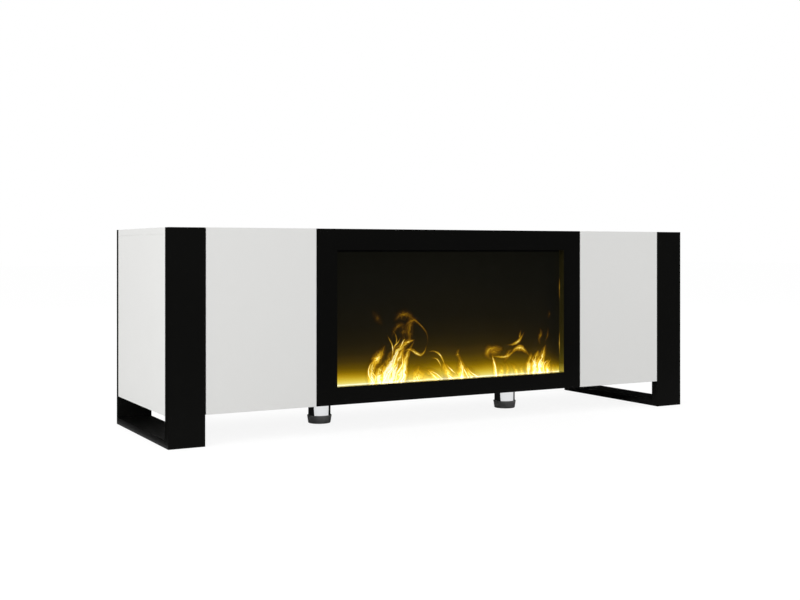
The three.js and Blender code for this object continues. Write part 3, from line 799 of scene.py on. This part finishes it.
flameRoom = {
    "front": glassBox[1].y + 0.3 * mm,
    "back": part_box("flame_screen")[0].y - 0.3 * mm,
    "rows": 28,
}
flameStrokes = {
    "left_flames": (
        (((-196, -2), (-194, 18), (-190, 40)), 128, 0.72),
        (((-240, -2), (-244, 22), (-240, 46), (-226, 62), (-208, 80)), 42, 1.1),
        (((-222, -2), (-220, 22), (-214, 40), (-206, 54)), 52, 1.15),
        (((-204, -2), (-196, 26), (-182, 54), (-164, 82), (-136, 104), (-118, 108)), 54, 1.4),
        (((-184, -2), (-176, 26), (-164, 54), (-154, 78), (-146, 96)), 56, 1.35),
        (((-164, -2), (-156, 26), (-150, 52), (-148, 76)), 46, 1.25),
        (((-152, -2), (-147, 28), (-143, 56), (-132, 82), (-114, 108)), 34, 1.25),
        (((-236, -2), (-252, 22), (-250, 44), (-236, 58), (-222, 62), (-208, 80)), 8, 1.2),
        (((-250, 60), (-238, 66), (-224, 62), (-214, 70)), 8, 0.9),
        (((-238, -2), (-232, 16), (-244, 32), (-238, 50)), 7, 1.3),
        (((-214, -2), (-206, 18), (-212, 34), (-200, 50)), 7, 1.4),
        (((-212, -2), (-198, 22), (-182, 40), (-172, 66), (-156, 90), (-138, 106)), 9, 1.6),
        (((-190, -2), (-194, 18), (-180, 36), (-182, 58), (-166, 80)), 8, 1.5),
        (((-176, -2), (-168, 24), (-154, 44), (-152, 70), (-142, 96)), 9, 1.6),
        (((-158, -2), (-148, 18), (-150, 40), (-142, 66), (-136, 92)), 8, 1.4),
        (((-196, 46), (-186, 60), (-182, 80), (-184, 98), (-192, 112), (-200, 126)), 7, 1.2),
        (((-182, 66), (-178, 86), (-171, 106), (-174, 124), (-186, 138)), 6, 0.8),
        (((-186, 70), (-178, 92), (-166, 104), (-158, 118)), 6, 1.1),
        (((-166, 84), (-156, 96), (-150, 108), (-142, 112)), 7, 1.3),
        (((-154, 100), (-136, 103), (-114, 109)), 10, 1.0),
        (((-158, 68), (-142, 82), (-126, 82), (-110, 72), (-96, 68), (-84, 80), (-80, 98)), 15, 1.05),
        (((-84, 76), (-77, 98), (-79, 120), (-90, 138), (-108, 154), (-130, 168), (-158, 178), (-190, 182)),
         9, 0.5),
        (((-140, 90), (-132, 112), (-134, 138), (-128, 158), (-142, 174)), 40, 0.46),
        (((-182, 158), (-160, 172), (-138, 174), (-112, 158)), 40, 0.46),
        (((-152, 130), (-134, 156), (-114, 158), (-100, 142)), 26, 0.42),
        (((-188, 112), (-176, 138), (-158, 150), (-142, 142)), 26, 0.38),
        (((-160, 92), (-150, 118), (-152, 140), (-166, 156)), 44, 0.3),
        (((-212, 148), (-228, 168), (-246, 192)), 30, 0.26),
        (((-240, 28), (-236, 48), (-228, 64), (-216, 78), (-204, 100)), 46, 0.95),
    ),
    "middle_flames": (
        (((-64, -2), (-62, 14), (-58, 30)), 134, 0.85),
        (((24, -2), (24, 14), (22, 30)), 130, 0.85),
        (((-108, -2), (-106, 18), (-104, 44)), 92, 0.95),
        (((-108, -2), (-104, 12), (-112, 26)), 26, 0.7),
        (((-46, -2), (-60, 14), (-80, 32)), 40, 0.9),
        (((-6, -2), (-14, 16), (-26, 36), (-30, 46)), 42, 0.95),
        (((32, -2), (30, 20), (27, 42), (22, 64)), 44, 1.1),
        (((62, -2), (48, 16), (34, 34)), 40, 0.95),
        (((84, -2), (68, 10), (52, 22)), 26, 0.7),
        (((-104, -2), (-112, 14), (-118, 30)), 8, 1.2),
        (((-42, -2), (-62, 14), (-84, 34)), 8, 1.5),
        (((-30, -2), (-48, 14), (-66, 22), (-84, 24)), 7, 1.3),
        (((-34, 20), (-38, 40), (-50, 55), (-70, 59)), 8, 1.1),
        (((-22, 20), (-26, 42), (-38, 64), (-56, 75), (-80, 74)), 9, 1.15),
        (((18, 8), (-2, 22), (-22, 42)), 8, 1.4),
        (((6, -2), (-14, 10), (-30, 30)), 7, 1.4),
        (((26, -2), (32, 22), (26, 44), (22, 60)), 8, 1.5),
        (((52, -2), (36, 24), (30, 46)), 8, 1.5),
        (((84, -2), (58, 14), (40, 36)), 8, 1.4),
        (((26, 40), (18, 58), (16, 68), (24, 82)), 22, 0.7),
    ),
    "right_flames": (
        (((288, -2), (288, 20), (290, 48)), 124, 0.95),
        (((142, -2), (138, 24), (132, 46), (128, 60)), 22, 1.1),
        (((144, -2), (139, 26), (131, 50), (134, 60)), 8, 1.5),
        (((134, 38), (118, 52), (112, 64), (130, 74), (154, 74), (168, 60)), 40, 0.66),
        (((104, 54), (122, 64), (148, 66), (166, 80)), 40, 0.55),
        (((118, 52), (140, 52), (162, 50), (182, 52), (198, 62), (212, 70)), 13, 0.95),
        (((182, 52), (198, 64), (214, 73), (230, 71), (242, 60), (258, 44)), 24, 1.1),
        (((168, 30), (178, 48), (184, 62), (200, 72)), 24, 0.6),
        (((190, 60), (210, 72), (230, 68), (246, 54)), 30, 0.6),
        (((172, 82), (196, 83), (214, 90), (226, 102), (238, 120)), 16, 0.95),
        (((204, 84), (218, 98), (222, 112), (226, 126)), 13, 0.6),
        (((156, -2), (160, 16), (154, 32)), 34, 0.85),
        (((212, -2), (206, 14), (188, 34)), 30, 0.9),
        (((178, -2), (180, 16), (172, 38)), 26, 0.8),
        (((228, -2), (226, 12), (232, 24)), 34, 0.8),
        (((168, 30), (172, 50), (186, 64)), 22, 0.4),
        (((250, -2), (252, 24), (258, 46), (256, 62)), 40, 1.0),
        (((270, -2), (272, 28), (280, 52), (282, 66)), 44, 1.2),
        (((290, -2), (292, 28), (300, 56), (310, 80)), 46, 1.35),
        (((314, -2), (314, 20), (318, 40)), 42, 1.15),
        (((336, -2), (334, 12), (336, 26)), 32, 0.7),
        (((357, 44), (358, 80), (357, 114)), 8, 1.2),
        (((357, 200), (358, 236), (357, 268)), 8, 1.0),
        (((250, -2), (246, 22), (260, 44)), 7, 1.4),
        (((266, -2), (272, 22), (264, 40), (280, 62)), 8, 1.6),
        (((290, -2), (284, 24), (298, 46), (304, 76)), 9, 1.6),
        (((304, -2), (300, 18), (312, 32), (322, 20)), 7, 1.4),
        (((316, -2), (312, 18), (324, 34), (322, 44)), 6, 1.1),
        (((290, 74), (286, 96), (292, 112), (288, 128)), 20, 0.5),
        (((300, 78), (314, 104), (316, 130)), 12, 0.32),
        (((314, 150), (320, 164), (318, 176)), 14, 0.3),
    ),
}


def smoothPath(corners, rows):
    ends = [corners[0], *corners, corners[-1]]      # the curve passes through every corner
    spans = len(corners) - 1
    points = []
    for row in range(rows + 1):
        span = min(int(row / rows * spans), spans - 1)
        share = row / rows * spans - span
        before, start, end, after = ends[span:span + 4]
        points.append([0.5 * (2 * b + (c - a) * share + (2 * a - 5 * b + 4 * c - d) * share ** 2
                              + (3 * b - a - 3 * c + d) * share ** 3)
                       for a, b, c, d in zip(before, start, end, after)])
    return points


strandShape = {
    "across": 4,
    "waist": 0.35,                 # where on its swelling a rooted strand leaves the sill
    "point": 0.08,                 # least width at a tip
    "fullness": 0.8,
    "wispStart": 0.3,              # a floating wisp is brightest in its middle, where it reads this far up
}


def layStrand(corners, width, depth, heat, rows):
    look = strandShape
    points = smoothPath(corners, rows)
    pickNone()
    bpy.ops.mesh.primitive_grid_add(x_subdivisions=look["across"], y_subdivisions=rows, size=1)
    strand = bpy.context.object
    warmth = strand.data.attributes.new("warmth", "FLOAT", "POINT")
    rooted = corners[0][1] < 0
    for vertex in strand.data.vertices:
        row = round((vertex.co.y + 0.5) * rows)
        (x, z), (nearX, nearZ), (farX, farZ) = points[row], points[max(row - 1, 0)], points[min(row + 1, rows)]
        heading = math.atan2(farX - nearX, farZ - nearZ)
        share = row / rows
        swelling = look["waist"] + (1 - look["waist"]) * share if rooted else share
        reach = vertex.co.x * width * max(look["point"], math.sin(math.pi * swelling)) ** look["fullness"]
        warmth.data[vertex.index].value = heat
        lift = z - math.sin(heading) * reach
        vertex.co = ((x + math.cos(heading) * reach) * mm, depth, window["sill"] + lift * mm)
    if not rooted:                 # a floating wisp dies out at both ends
        for corner in strand.data.uv_layers.active.data:
            corner.uv.y = look["wispStart"] + (1 - look["wispStart"]) * abs(2 * corner.uv.y - 1)
    return strand


def buildFlames(name, strokes):
    strands = []
    for number, (corners, width, heat) in enumerate(strokes):
        depth = flameRoom["back"] + (flameRoom["front"] - flameRoom["back"]) * (number + 0.5) / len(strokes)
        strands.append(layStrand(corners, width, depth, heat, flameRoom["rows"]))
    pickNone()
    for strand in strands:
        strand.select_set(True)
    bpy.context.view_layer.objects.active = strands[0]
    bpy.ops.object.join()
    flames = bpy.context.object
    flames.name = name
    applyPlace(flames)
    settle(flames, "root", "flame_screen", flameFinish)


for name, strokes in flameStrokes.items():
    buildFlames(name, strokes)
print("flames ready")


# Cross-head screws

screwShape = {
    "radius": 3.4 * mm,
    "height": 1.3 * mm,
    "sunk": -0.2 * mm,
    "dome": ((0.94, 0.45), (0.7, 0.85), (0.35, 1)),    # shares of the radius and of the height
    "neck": 0.7,
    "steps": 20,
    "arm": 1.5 * mm,
    "slotWidth": 0.7 * mm,
    "slotDepth": 0.9 * mm,
    "firstTurn": 0.3,              # radians, so that no two heads stand alike
    "nextTurn": 0.7,
}


def makeScrew(look):
    radius, height = look["radius"], look["height"]
    dome = [(radius * share, height * rise) for share, rise in look["dome"]]
    profile = [(radius * look["neck"], look["sunk"]), (radius, 0), *dome]
    head = turnedPiece("screwMaster", profile, steps=look["steps"])
    pickNone()
    bpy.ops.mesh.primitive_cube_add(size=1, location=(0, 0, height))
    cutter = bpy.context.object
    editAll(cutter)
    bpy.ops.transform.resize(value=(look["slotWidth"], look["slotWidth"], look["slotDepth"] * 2))
    bpy.ops.object.mode_set(mode="OBJECT")
    for face in cutter.data.polygons:
        face.select = abs(face.normal.z) < 0.5
    bpy.ops.object.mode_set(mode="EDIT")
    bpy.ops.mesh.select_mode(type="FACE")
    bpy.ops.mesh.extrude_faces_move(TRANSFORM_OT_shrink_fatten={"value": look["arm"]})
    bpy.ops.mesh.select_mode(type="VERT")
    bpy.ops.object.mode_set(mode="OBJECT")
    applyPlace(cutter)
    pickOnly(head)
    recess = head.modifiers.new("recess", "BOOLEAN")
    recess.object = cutter
    recess.solver = "EXACT"
    bpy.ops.object.modifier_apply(modifier=recess.name)
    pickOnly(head)
    bpy.ops.object.shade_smooth_by_angle(angle=tools["crease"])
    bpy.data.objects.remove(cutter)
    return head


screwMaster = makeScrew(screwShape)


def driveScrews(name, places, facing, body, slot="nickel"):
    turn = Vector((0, 0, 1)).rotation_difference(Vector(facing)).to_matrix().to_4x4()
    copies = []
    for number, place in enumerate(places):
        spin = Matrix.Rotation(number * screwShape["nextTurn"] + screwShape["firstTurn"], 4, "Z")
        copies.append(placedCopy(screwMaster, name + "_part", Matrix.Translation(place) @ turn @ spin))
    pickNone()
    for piece in copies:
        piece.select_set(True)
    bpy.context.view_layer.objects.active = copies[0]
    if len(copies) > 1:
        bpy.ops.object.join()
    joined = bpy.context.object
    joined.name = name
    settle(joined, body, slot, finishes[slot])


screwPlaces = {
    "armAcross": 26 * mm,          # from the door's outer edge onto the post
    "armUp": 15 * mm,
    "armPlate": 2.8 * mm,          # arm plate's rear face behind the post
    "cupAcross": 23 * mm,
    "cupUp": 27 * mm,
    "cupFlange": 1.5 * mm,
    "legTurn": math.radians(45),
    "coverInset": 7 * mm,
}


def driveAllScrews(look):
    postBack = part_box("left_front_post")[1].y
    for name, side in sides:
        doorLow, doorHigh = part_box(name + "_door")
        outer = doorLow.x if side < 0 else doorHigh.x
        armPlaces, cupPlaces = [], []
        for level in ("lower", "upper"):
            low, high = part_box(f"{name}_{level}_hinge_cup")
            z = (low.z + high.z) / 2
            for way in (-1, 1):
                armPlaces.append((outer + side * look["armAcross"], postBack + look["armPlate"],
                                  z + way * look["armUp"]))
                cupPlaces.append((outer - side * look["cupAcross"], doorHigh.y + look["cupFlange"],
                                  z + way * look["cupUp"]))
        driveScrews(name + "_arm_screws", armPlaces, (0, 1, 0), "root")
        driveScrews(name + "_cup_screws", cupPlaces, (0, 1, 0), name + "_door")
        low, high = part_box(name + "_leg_tube")
        centre = (low + high) / 2
        circle = []
        for quarter in range(4):
            angle = look["legTurn"] + quarter * math.pi / 2
            circle.append((centre.x + math.cos(angle) * legShape["screwCircle"],
                           centre.y + math.sin(angle) * legShape["screwCircle"], high.z - legShape["plate"]))
        driveScrews(name + "_leg_screws", circle, (0, 0, -1), "root", "zinc_pin")
    low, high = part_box("rear_cover")
    inset = look["coverInset"]
    corners = [(x, high.y, z) for x in (low.x + inset, 0, high.x - inset)
               for z in (low.z + inset, high.z - inset)]
    driveScrews("cover_screws", corners, (0, 1, 0), "root", "zinc_pin")


driveAllScrews(screwPlaces)
bpy.data.objects.remove(screwMaster)
print("screws driven")


# Studio: a pale floor, a white surround and soft light

studio = {
    "ambient": 0.68,               # surround as the object's surfaces see it
    "floorSize": 60,
    "floorAlbedo": 0.8,
    "floorPaint": 0.16,            # share of the light that the camera sees on the floor
    "floorGlow": 0.885,            # and what is added, so that only the shadow stands out
    "lamps": (
        {"name": "keyLamp", "place": (-5.0, -2.0, 3.0), "size": 3.2, "watts": 132},
        {"name": "fillLamp", "place": (3.6, -3.2, 3.0), "size": 3.0, "watts": 34},
        {"name": "backLamp", "place": (0.5, 4.2, 3.2), "size": 3.0, "watts": 50},
    ),
    "aim": (0, 0, 0.25),
    "flagTone": 0.006,
    "flags": (                     # dark cards that gloss and glass alone see: painted dark reflections, with a painted shadow under the body
        {"name": "frontFlag", "place": (3.85, -1.4, 1.2), "size": (10.3, 2.4), "turn": (90, 0, 0)},
        {"name": "frontFloorFlag", "place": (3.85, -1.0, 0.001), "size": (10.3, 0.8), "turn": (0, 0, 0)},
        {"name": "leftFlag", "place": (-1.9, 1.7, 1.2), "size": (6.2, 2.4), "turn": (90, 0, 70)},
        {"name": "leftFloorFlag", "place": (-1.6, 1.0, 0.001), "size": (1.6, 3.0), "turn": (0, 0, 0)},
        {"name": "backFlag", "place": (1.2, 1.7, 1.2), "size": (5.0, 2.4), "turn": (90, 0, 0)},
        # painted shadow: the floor's shade under the body, as gloss sees it
        {"name": "underShadowCard", "place": (0.13, 0.13, 0.001), "size": (1.65, 0.39), "turn": (0, 0, 0)},
    ),
}


def eyeRays(tree):
    path = addNode(tree, "ShaderNodeLightPath").outputs
    seen = reckon(tree, "MAXIMUM", path["Is Camera Ray"], path["Is Glossy Ray"])
    return reckon(tree, "MAXIMUM", seen, path["Is Transmission Ray"])


def setWorld(look):
    world = bpy.data.worlds.new("studio")
    bpy.context.scene.world = world
    world.use_nodes = True
    tree = world.node_tree
    background = tree.nodes.get("Background") or addNode(tree, "ShaderNodeBackground")
    background.inputs["Color"].default_value = (1, 1, 1, 1)
    strength = reckon(tree, "MULTIPLY_ADD", eyeRays(tree), 1 - look["ambient"], look["ambient"])
    feed(tree, background.inputs["Strength"], strength)
    output = tree.nodes.get("World Output") or addNode(tree, "ShaderNodeOutputWorld")
    tree.links.new(background.outputs[0], output.inputs["Surface"])


def layFloor(look):
    pickNone()
    bpy.ops.mesh.primitive_plane_add(size=look["floorSize"])
    floor = bpy.context.object
    floor.name = "studio_floor"
    material = bpy.data.materials.new("studioFloor")
    material.use_nodes = True
    tree = material.node_tree
    tree.nodes.clear()
    seen = eyeRays(tree)
    diffuse = addNode(tree, "ShaderNodeBsdfDiffuse")
    paint = reckon(tree, "MULTIPLY_ADD", seen, look["floorPaint"] - look["floorAlbedo"], look["floorAlbedo"])
    feed(tree, diffuse.inputs["Color"], paint)
    light = addNode(tree, "ShaderNodeEmission")
    feed(tree, light.inputs["Strength"], reckon(tree, "MULTIPLY", seen, look["floorGlow"]))
    both = addNode(tree, "ShaderNodeAddShader")
    feed(tree, both.inputs[0], diffuse.outputs[0])
    feed(tree, both.inputs[1], light.outputs[0])
    output = addNode(tree, "ShaderNodeOutputMaterial")
    tree.links.new(both.outputs[0], output.inputs["Surface"])
    floor.data.materials.append(material)


def standFlag(look, tone):
    pickNone()
    turn = [math.radians(degrees) for degrees in look["turn"]]
    bpy.ops.mesh.primitive_plane_add(size=1, location=look["place"], rotation=turn)
    flag = bpy.context.object
    flag.name = look["name"]
    flag.scale = (*look["size"], 1)
    # seen by gloss and glass only, so each card is a painted dark reflection that gives no light or shadow
    flag.visible_camera = flag.visible_diffuse = flag.visible_shadow = False
    material = bpy.data.materials.get("studioFlag") or bpy.data.materials.new("studioFlag")
    material.use_nodes = True
    tree = material.node_tree
    tree.nodes.clear()
    light = addNode(tree, "ShaderNodeEmission")
    light.inputs["Strength"].default_value = tone
    feed(tree, addNode(tree, "ShaderNodeOutputMaterial").inputs["Surface"], light.outputs[0])
    flag.data.materials.append(material)


def hangLamp(look, aim):
    bpy.ops.object.light_add(type="AREA", location=look["place"])
    lamp = bpy.context.object
    lamp.name = look["name"]
    lamp.data.size = look["size"]
    lamp.data.energy = look["watts"]
    lamp.rotation_euler = (Vector(aim) - Vector(look["place"])).to_track_quat("-Z", "Y").to_euler()


setWorld(studio)
layFloor(studio)
for lampLook in studio["lamps"]:
    hangLamp(lampLook, studio["aim"])
for flagLook in studio["flags"]:
    standFlag(flagLook, studio["flagTone"])
bpy.context.scene.view_settings.view_transform = "Standard"
print("studio ready")
